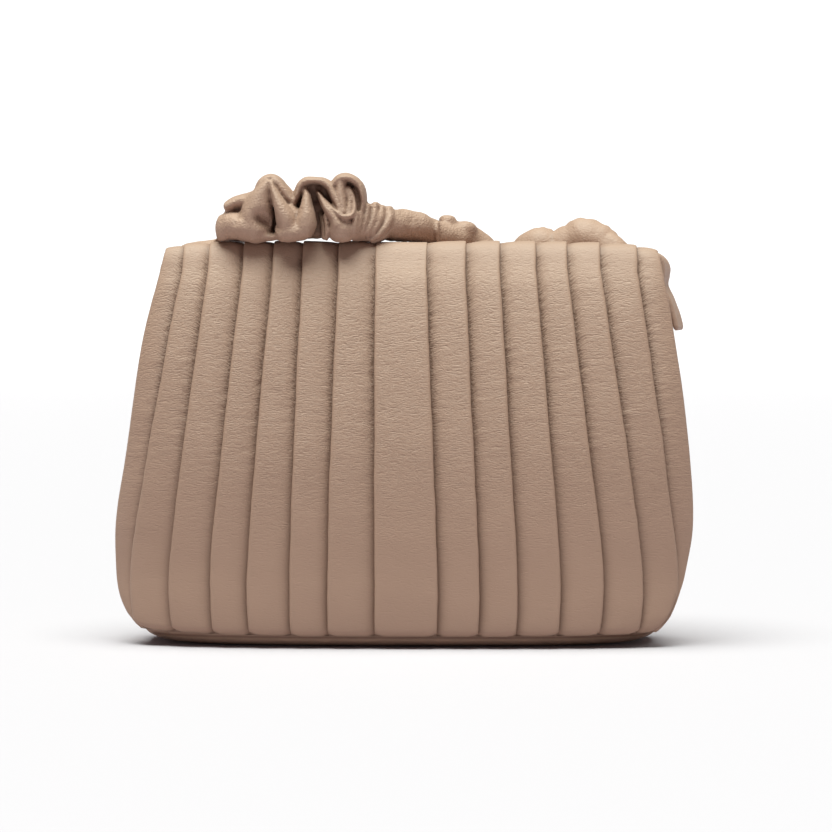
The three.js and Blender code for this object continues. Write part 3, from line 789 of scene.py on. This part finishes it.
# Folds of the strap, each a soft roll along x, y, z with its reach across and in depth.
strapFolds = {
    "rearFill": [(-79.5, -7, 193.9, 2.8, 7), (-75.1, -8, 194.7, 3.4, 7), (-70.5, -10, 195.5, 3.5, 8)],
    "lowerEdge": [(-73.2, -16, 183.8, 2.2, 9), (-66.9, -16.5, 183.4, 2.3, 9),
        (-61.8, -17.5, 183.6, 2.3, 8.5), (-57.7, -19, 183.4, 1.7, 7)],
    "pillow": [(-81.9, -12.5, 188.5, 5.5, 9.5), (-80.2, -14, 188.5, 6.2, 10),
        (-76.2, -16.5, 188.5, 6.3, 10.5), (-71.9, -18, 187.9, 5.8, 10.5), (-67.3, -18.5, 186.4, 4.5, 10)],
    "pillowEnd": [(-81.4, -12.5, 190.8, 3.2, 9), (-81.6, -13, 187, 3.4, 9.5),
        (-81.3, -12.5, 183.2, 3.2, 9)],
    "risingLimb": [(-67.1, -18, 183.5, 5.4, 9.5), (-66.5, -19, 187.5, 7.4, 10),
        (-66, -19.5, 192.3, 7.7, 10), (-65.1, -20, 197.3, 6.7, 9.5), (-63.4, -20, 202, 5.1, 8.5),
        (-61.7, -20, 206, 3.2, 7.5), (-60.6, -20, 208.6, 1.7, 6.5)],
    "knot": [(-57.4, -24.5, 187.7, 0.4, 4), (-56, -25.5, 186, 0.6, 4.5), (-54.9, -25.5, 184.2, 0.7, 4.5),
        (-53.7, -25, 181.8, 0.4, 3.5)],
    "rearLobe": [(-80, -13, 197, 2.3, 8), (-75.6, -13, 199, 3, 9), (-70.5, -13, 200.4, 3, 9),
        (-65.7, -14, 202, 2.8, 9)],
    "firstArch": [(-66.5, -14, 202.5, 1.7, 9), (-64.8, -14, 206.8, 1.6, 10), (-62.6, -14, 209.4, 1.6, 10),
        (-59.7, -14, 210.4, 1.6, 10), (-56.8, -15, 208.8, 2.1, 10), (-54, -16, 204.8, 2.8, 10),
        (-51.4, -16, 201.1, 2.8, 10), (-49.1, -16, 198.3, 1.9, 9)],
    "secondArch": [(-49.1, -16, 198.3, 1.6, 9), (-47.4, -17, 202.9, 1.8, 9), (-46.1, -17, 206.4, 2, 9),
        (-43.5, -17.5, 208.4, 2, 9), (-39.8, -17.5, 208.7, 1.8, 9), (-35.9, -17.5, 208.2, 1.9, 9),
        (-33, -18, 206.1, 2.1, 9), (-31.1, -19, 202.4, 2.1, 9), (-29.3, -21, 198.3, 1.8, 8),
        (-27.7, -24, 194.1, 1.3, 6)],
    "frontLimb": [(-59.1, -21, 208.8, 0.9, 5), (-58.1, -23, 204.6, 1.8, 6), (-56, -25, 199.5, 2.7, 6.5),
        (-53.9, -26, 194.9, 3.7, 7), (-52.3, -26, 190.5, 4.5, 7.5), (-51.5, -25, 186.3, 3.7, 7.5)],
    "middleSwag": [(-44.2, -20, 204.9, 1, 5), (-43.3, -22, 202.3, 1.7, 6), (-43.2, -24, 197.8, 2.9, 6.5),
        (-43.1, -25, 193.3, 4, 7.5), (-43.5, -25, 188.8, 4.9, 8), (-44, -24, 184.8, 3.7, 8)],
    "lowSwag": [(-55.2, -23.5, 184.4, 3.4, 7.5), (-52, -25, 185.1, 4.4, 7.5), (-48.1, -25, 185.7, 4.6, 7.5),
        (-44.8, -24, 186, 4.5, 7.5)],
    "valley": [(-50.6, -19, 197.5, 2, 7.5), (-48.6, -20, 194, 2.6, 8), (-47.6, -20.5, 190.5, 2.6, 8)],
    "innerFold": [(-37.4, -14, 194.3, 0.8, 6), (-36.3, -16, 189.5, 1, 6), (-35.9, -17, 182.6, 0.8, 6)],
    "innerFoldRight": [(-35.1, -20, 193.4, 0.8, 6), (-34.1, -21, 188.3, 1, 6), (-34.5, -20, 182.2, 0.8, 6)],
    "flank": [(-38.6, -19, 203.8, 0.8, 5), (-36.8, -21, 200.7, 1.3, 6), (-34.2, -23, 196.4, 1.9, 6.5),
        (-31, -24, 192.2, 2.6, 6.5), (-29.2, -25, 188.5, 3.5, 6)],
    "rightSwag": [(-27.6, -23.5, 190.5, 5.1, 5.5), (-27.4, -24.5, 187.1, 5.9, 6),
        (-27.4, -23, 184, 5.8, 6.5)],
    "swagLip": [(-38.2, -21.5, 203.4, 0.7, 4), (-35, -23.6, 199.5, 0.9, 4), (-31, -25.4, 195.7, 1, 4.2),
        (-27.9, -26.3, 193.1, 1.1, 4.4), (-25.3, -26.8, 192.4, 1.1, 4.4), (-22.7, -26, 193.2, 1.1, 4.4),
        (-21.7, -24.4, 196.1, 1, 4), (-22, -22.2, 199.8, 0.8, 4), (-23.2, -21, 203.5, 0.8, 4),
        (-24.5, -20, 205.9, 0.7, 4)],
    "thirdArch": [(-30.9, -16, 207, 2.1, 10), (-28.6, -16, 209.4, 2.3, 11), (-25.8, -16, 210, 2.3, 11),
        (-22.7, -15, 209.2, 2.1, 11), (-19.9, -14, 206.8, 2, 11), (-18.4, -14, 203.1, 1.8, 11),
        (-18.1, -14, 199.1, 1.7, 10), (-18.8, -15, 194.6, 1.5, 9), (-20, -16, 190.6, 1.1, 8)],
    "archFace": [(-28.1, -20, 208, 2.6, 7), (-28.1, -21, 203.5, 2.6, 7), (-27.4, -23, 198.9, 2.2, 6),
        (-26.4, -25, 194.4, 1.5, 5)],
    "archPleat": [(-25, -20, 204.9, 0.8, 5), (-24.1, -21, 200.7, 1.1, 5), (-23.8, -23, 196.7, 1.1, 5),
        (-24.3, -25, 193.6, 0.8, 4)],
    "pocketWall": [(-21.7, -13, 205.4, 1.4, 7), (-21, -14, 202, 1.9, 7), (-21, -15, 198, 1.8, 7),
        (-21.5, -16, 194, 1.5, 7)],
    "tightA": [(-20.7, -21, 194.2, 1.3, 6), (-21.4, -22, 188.8, 1.8, 6.5), (-21.9, -21, 184.4, 1.7, 6),
        (-21.9, -15, 182.2, 1.3, 6)],
    "tightB": [(-18.1, -15, 198.1, 1.3, 7), (-19.4, -18, 191.2, 1.8, 7), (-20.4, -18.5, 185.2, 1.8, 6.5),
        (-20.5, -13, 182.2, 1.5, 6)],
    "tightC": [(-15.7, -12, 197.9, 1.4, 7.5), (-16.8, -15.5, 191.5, 2, 7), (-18.4, -16.5, 185, 1.8, 6),
        (-18.4, -12, 182.2, 1.5, 6)],
    "tightD": [(-12.6, -9, 198.6, 1.7, 7.5), (-13.6, -13, 192.1, 2.3, 7), (-16, -15.5, 185.3, 2, 6),
        (-16.4, -11, 182.2, 1.5, 6)],
    "tightE": [(-9.9, -6, 197.4, 1.5, 7.5), (-10.4, -10.5, 192.1, 2.1, 7), (-13.6, -14, 185.6, 1.9, 6),
        (-14.7, -11, 182.2, 1.5, 6)],
    "tightF": [(-7, -4, 196.6, 1.9, 7.5), (-6.4, -8, 191.9, 2.5, 7), (-10.3, -12.5, 185.3, 2.1, 6),
        (-14.6, -14, 181.9, 1.2, 5)],
    "wrap": [(-14.1, -12, 181.2, 1, 5), (-9, -9, 183.6, 1.5, 6), (-5.1, -5, 188, 1.9, 7),
        (-2.2, 0, 194, 2, 7)],
    "rearNeck": [(-21, -9, 193, 4.8, 6), (-14, -6, 192.4, 4.4, 6), (-7, -1, 191.4, 4.1, 5.5),
        (0, 3, 189.8, 3.8, 5)],
    "stubFold": [(2.4, 4, 192.4, 1.2, 5.5), (4.4, 3, 188, 1.5, 6), (5.4, 3.6, 183.6, 1.2, 5.5)],
    "stubPleat": [(9.6, 10.4, 190.4, 0.9, 5.5), (11, 9.4, 187, 1.2, 6), (11.6, 10, 183.2, 0.9, 5.5)],
    "slackEnd": [(86, 27.5, 181, 8, 8), (91.5, 26.5, 180.6, 6.9, 8), (95.5, 25, 179, 5.9, 7.5),
        (97.6, 24, 177.6, 5.2, 7)],
    "lumpShoulder": [(26.7, 24.5, 183.3, 5.2, 8), (27.3, 25.5, 186.6, 5.5, 8), (27.6, 25.5, 188.5, 5.2, 8)],
    "lumpTop": [(19.2, 23, 184, 4, 8), (19.3, 24, 187.9, 4.2, 8), (19.4, 24, 192, 4, 8)],
    "lumpRear": [(20.5, 28, 184, 6, 6), (20.2, 27.5, 187.5, 5.2, 6), (19.6, 26.5, 190.2, 4.2, 6)],
    "lumpRidge": [(14.8, 9, 190.5, 1, 4), (14.9, 8, 186.4, 1.1, 4.5), (14.9, 9, 181.7, 1.1, 4)],
}
# Plain rolls at the back of the bunch: x, top.
rearRolls = [
    (-79, 193), (-74, 199), (-68, 203.5), (-61, 208), (-56, 208), (-52, 203), (-48, 199), (-44, 207.5),
    (-40, 209), (-36.5, 209), (-31, 206.5), (-26, 208), (-21, 206), (-17, 198), (-14, 192),
]
# Soft hollows pressed into the front of the bunch: x, z, reach, depth.
strapDents = [
    (-63.9, 191.6, 3.2, 3.4), (-60.9, 189.6, 2.5, 2.8), (-57.8, 187.4, 1.9, 1.8),
    (-73.2, 194.8, 1.3, 0.9), (-73.9, 192.3, 1.4, 0.9), (-74.8, 189.4, 1.5, 0.7),
    (2.6, 190.6, 1.8, 0.8), (1.2, 186.2, 1.8, 0.8),
]
strapSizes = {
    "sides": 48, "ringsPerSection": 6, "core": 0.3, "coreBack": 6,
    "foldStep": 0.8, "foldSides": 28, "foldCap": 0.55, "rearFoot": 184.8,
    "voxel": 0.57, "relax": 2, "smoothTurns": 10, "wrinkle": 0.24, "dent": 0.6,
    "gather": 0.04, "gatherBack": 0.24, "puffLength": 4.6, "hollowShadeGain": 26, "pressedShade": 0.55,
}
# Where each change along the strap sets in, by x, y or z.
strapZones = {
    "bunchLeft": (-84, -76), "bunchRight": (-22, -16), "bunchFront": (-4, -14), "sheet": (-63, -71),
    "lumpLeft": (16, 19), "lumpRight": (36, 32), "under": (194, 189), "underEnd": (-40, -43),
    "loose": (16, 30), "plain": (22, 50),
}


def strapZone(name, at):
    return smoothStep(*strapZones[name], at)


def foldRoll(rows):
    sizes = strapSizes
    table = tableOf("x y z across deep", rows)
    table["run"] = runOf(stack(table["x"], table["y"], table["z"]))
    length = table["run"][-1]
    at = np.linspace(0, length, max(int(length / sizes["foldStep"]), 8))
    x, y, z, across, deep = readColumns(table, "run", "x y z across deep", at)
    along = unit(stack(np.gradient(x), 0, np.gradient(z)))
    middle = stack(x, y, z)
    cap = np.radians([82, 60, 40, 20])  # rings that round off both ends
    head = middle[:1] - along[:1] * (across[0] * sizes["foldCap"] * np.sin(cap))[:, None]
    tail = middle[-1:] + along[-1:] * (across[-1] * sizes["foldCap"] * np.sin(cap[::-1]))[:, None]
    middle = np.concatenate([head, middle, tail])
    along = np.pad(along, ((len(cap), len(cap)), (0, 0)), "edge")
    across, deep = (
        np.concatenate([size[0] * np.cos(cap), size, size[-1] * np.cos(cap[::-1])]) for size in (across, deep)
    )
    out = stack(-along[:, 2], 0, along[:, 0])
    back = np.array([[0, 1.0, 0]])
    angle = np.linspace(0, 2 * np.pi, sizes["foldSides"], endpoint=False)
    return sweep(middle, out, back, across[:, None] * np.cos(angle), deep[:, None] * np.sin(angle))


def strapCore():
    sizes = strapSizes
    table = dict(strapSections, place=np.arange(len(strapSections["x"]), dtype=float))
    last = table["place"][-1]
    place = np.linspace(0, last, int(last * sizes["ringsPerSection"]) + 1)
    x, y, z, wide, tall = readColumns(table, "place", "x y z wide tall", place)
    inside = strapZone("bunchLeft", x) * (1 - strapZone("bunchRight", x)) * strapZone("bunchFront", y)
    scale = 1 - (1 - sizes["core"]) * inside
    middle = stack(x, y + sizes["coreBack"] * inside, z)
    along = np.gradient(middle, axis=0)
    run = np.cumsum(np.linalg.norm(along, axis=1))[:, None]
    along = unit(along)
    side = crossUnit(np.array([0, 0, 1.0]), along)
    rise = np.cross(along, side)
    angle = np.linspace(0, 2 * np.pi, sizes["sides"], endpoint=False)
    ahead, up = np.cos(angle), np.sin(angle)
    gather = softNoise(run / 5.2, ahead * 0.9, up * 0.9, seed=95)
    gather = gather + 0.5 * softNoise(run / 2.3, ahead * 1.2, up * 1.2, seed=96)
    phase = run / sizes["puffLength"] + 1.1 * softNoise(run / 11, ahead * 0.8, up * 0.8, seed=97)
    puff = np.abs(np.sin(np.pi * phase)) ** 0.7 - 0.8  # round puffs, sharp valleys
    puff = puff * np.clip(0.6 + softNoise(run / 9, ahead * 1.1, up * 1.1, seed=98), 0.15, 1)
    gather = sizes["gather"] * gather + sizes["gatherBack"] * puff * smoothStep(0.5, -0.3, ahead)
    scale = scale[:, None] * (1 + gather * smoothStep(3, 6, tall)[:, None])
    return sweep(middle, side, rise, wide[:, None] * scale * ahead, tall[:, None] * scale * up)


def fusedRolls(rolls, voxel):  # one skin round all the rolls
    points, faces, start = [], [], 0
    for roll in rolls:
        count, sides = roll.shape[:2]
        points.append(roll.reshape(-1, 3))
        faces += tubeFaces(count, sides, start)
        start += count * sides
    mesh = bpy.data.meshes.new("strap_rough")
    mesh.from_pydata((np.concatenate(points) * mm).tolist(), [], faces)
    rough = addObject("strap_rough", mesh)
    skin = rough.modifiers.new("skin", "REMESH")
    skin.mode = "VOXEL"
    skin.voxel_size = voxel * mm
    made = rough.evaluated_get(bpy.context.evaluated_depsgraph_get()).to_mesh()
    spots = np.empty(len(made.vertices) * 3, np.float32)
    made.vertices.foreach_get("co", spots)
    corners = cornersOf(made).reshape(-1, 4)
    bpy.data.objects.remove(rough)
    return spots.reshape(-1, 3) * perMetre, corners


def neighbourMean(values, faces):
    here, there = np.concatenate([faces[:, [k, (k + 1) % 4]] for k in range(4)]).T
    count = np.maximum(np.bincount(here, minlength=len(values)), 1)
    columns = values.reshape(len(values), -1).T
    means = [np.bincount(here, column[there], len(values)) / count for column in columns]
    return stack(*means).reshape(values.shape)


def pointNormals(points, faces):
    a, b, c, d = (points[faces[:, k]] for k in range(4))
    flat = np.cross(c - a, d - b)
    total = np.zeros_like(points)
    for k in range(4):
        for axis in range(3):
            total[:, axis] += np.bincount(faces[:, k], flat[:, axis], len(points))
    return unit(total)


def frontDepth(points):  # how far a point lies behind the front of what is round it
    x, y, z = points.T
    cell, margin, empty = 1.4, 3, 99.0
    i = ((x - x.min()) / cell).astype(int) + margin
    k = ((z - z.min()) / cell).astype(int) + margin
    front = np.full((i.max() + margin + 1, k.max() + margin + 1), empty)
    np.minimum.at(front, (i, k), y)
    for turn in range(2):
        around = [np.roll(front, (a, b), (0, 1)) for a in (-1, 0, 1) for b in (-1, 0, 1)]
        front = np.min(around, axis=0)
    return y - front[i, k]


def makeStrap():
    sizes = strapSizes
    rolls = [strapCore()] + [foldRoll(rows) for rows in strapFolds.values()]
    foot = sizes["rearFoot"]
    for k, (x, top) in enumerate(rearRolls):
        lean = 1.4 * math.sin(2.3 * k)
        reach = 3.6 + 0.5 * math.cos(1.7 * k)
        rolls.append(foldRoll([
            (x - lean, -11, foot, reach, 6),
            (x, -9.5, (top + foot) / 2, reach, 7),
            (x + lean, -11, top - 1.5, reach * 0.8, 6.5),
        ]))
    points, faces = fusedRolls(rolls, sizes["voxel"])
    for turn in range(sizes["relax"]):
        points = points + 0.5 * (neighbourMean(points, faces) - points)
    x, z = points[:, :1], points[:, 2:]
    smooth = strapZone("sheet", x)  # the broad sheet at the left end
    smooth = smooth + strapZone("lumpLeft", x) * strapZone("lumpRight", x)
    smooth = np.maximum(smooth, strapZone("under", z) * strapZone("underEnd", x))
    for turn in range(sizes["smoothTurns"]):
        points = points + 0.6 * smooth * (neighbourMean(points, faces) - points)
    normal = pointNormals(points, faces)
    facing = smoothStep(0.1, 0.5, -normal[:, 1])
    x, y, z = points.T
    pressed = 0 * x
    for dentX, dentZ, reach, depth in strapDents:
        pressed = pressed + depth * np.exp(-((x - dentX) ** 2 + (z - dentZ) ** 2) / reach ** 2)
    points[:, 1] += pressed * facing
    wrinkle = softNoise(x / 7, y / 7, z / 7, seed=91) + 0.45 * softNoise(x / 2.6, y / 2.6, z / 3.4, seed=92)
    loose = strapZone("loose", x)  # the slack end has broad soft dents
    wrinkle = sizes["wrinkle"] * wrinkle * (1 - 0.6 * loose)
    wrinkle = wrinkle + sizes["dent"] * loose * softNoise(x / 12, y / 12, z / 12, seed=93)
    points = points + normal * wrinkle[:, None]
    # painted shade far behind the front of the bunch, in hollows and in pressed dents
    shade = smoothStep(6, 13, frontDepth(points)) * facing
    hollow = ((neighbourMean(points, faces) - points) * normal).sum(1)
    for turn in range(4):
        hollow = 0.4 * hollow + 0.6 * neighbourMean(hollow, faces)
    paintedShade = np.maximum(np.clip(hollow * sizes["hollowShadeGain"] - 0.12, 0, 1), shade * (x < 0))
    paintedShade = np.maximum(paintedShade, sizes["pressedShade"] * smoothStep(0.9, 3.4, pressed) * facing)
    marks = {"crepe": [0.8 - 0.5 * strapZone("plain", x)], "paintedShade": [0.8 * paintedShade]}
    strap = makePiece("gathered_strap", [points], faces.tolist(), [points[:, [0, 2]]], marks, strapLeather)
    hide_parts("strap")
    return strap


strap = makeStrap()


# Floor, light and camera

studio = {
    "floorRings": (0.02, 0.5, 1.5, 3, 6.1), "floorColour": (0.475, 0.414, 0.446, 1),
    "wallRadius": 6.0, "wallHeights": (-0.02, 0.8), "wallColour": (0.2, 0.2, 0.2, 1), "wallGlow": 0.98,
    "sides": 96, "roughness": 0.9, "specular": 0.1,
    "sunPower": 7.2, "sunColour": (0.87, 1.0, 0.93), "sunAngle": 50, "sunFrom": (-0.05, -0.155, 1.0),
    "fillPower": 0.4, "fillColour": (1, 0.95, 0.9), "fillSize": 1.2,
    "fillAt": (-0.6, -2.4, 0.5), "fillTarget": (0, 0, 0.1), "world": 0.1,
    "cameraTarget": (0.0053, 0, 0.1022), "cameraAway": 1.7, "azimuth": 1.4, "elevation": 2.0,
    "sensor": 36, "focalPixels": 3732, "imagePixels": 832,
}
white = (1, 1, 1, 1)


def plainMaterial(name, colour, glow):
    material, w = bareMaterial(name)
    w.surface({
        "Base Color": colour, "Roughness": studio["roughness"], "Specular IOR Level": studio["specular"],
        "Emission Color": white, "Emission Strength": glow,
    })
    return material


def makeFloor():
    angles = [2 * math.pi * i / studio["sides"] for i in range(studio["sides"])]
    floorRings = [(r, 0) for r in studio["floorRings"]]
    wallRings = [(studio["wallRadius"], h) for h in studio["wallHeights"]]
    floorLook = plainMaterial("pale_floor", studio["floorColour"], 0)
    wallLook = plainMaterial("pale_wall", studio["wallColour"], studio["wallGlow"])
    floor = ("floor", floorRings, floorLook, 1)
    wall = ("backdrop", wallRings, wallLook, 2)
    for name, rings, look, openEnds in (floor, wall):
        points = [(r * math.cos(a), r * math.sin(a), h) for r, h in rings for a in angles]
        mesh = bpy.data.meshes.new(name)
        mesh.from_pydata(points, [], tubeFaces(len(rings), len(angles))[:-openEnds])
        mesh.materials.append(look)
        plane = addObject(name, mesh)


def aim(thing, at, target):
    thing.location = at
    thing.rotation_euler = (Vector(target) - Vector(at)).to_track_quat("-Z", "Y").to_euler()


def makeLights():
    sun = bpy.data.lights.new("overhead", "SUN")
    sun.energy = studio["sunPower"]
    sun.angle = math.radians(studio["sunAngle"])
    sun.color = studio["sunColour"]
    aim(addObject("overhead", sun), studio["sunFrom"], (0, 0, 0))
    panel = bpy.data.lights.new("fill", "AREA")
    panel.energy = studio["fillPower"]
    panel.size = studio["fillSize"]
    panel.color = studio["fillColour"]
    aim(addObject("fill", panel), studio["fillAt"], studio["fillTarget"])
    world = bpy.data.worlds.new("soft_room")
    world.use_nodes = True
    sockets = world.node_tree.nodes["Background"].inputs
    sockets["Color"].default_value = white
    sockets["Strength"].default_value = studio["world"]
    bpy.context.scene.world = world


def makeCamera():
    lens = bpy.data.cameras.new("camera")
    lens.sensor_width = studio["sensor"]
    lens.lens = studio["sensor"] * studio["focalPixels"] / studio["imagePixels"]
    camera = addObject("camera", lens)
    a, e = math.radians(studio["azimuth"]), math.radians(studio["elevation"])
    back = Vector((math.sin(a) * math.cos(e), -math.cos(a) * math.cos(e), math.sin(e)))
    target = Vector(studio["cameraTarget"])
    aim(camera, target + back * studio["cameraAway"], target)
    bpy.context.scene.camera = camera


makeFloor()
makeLights()
makeCamera()
bpy.context.scene.view_settings.view_transform = "Standard"
print("studio ready")
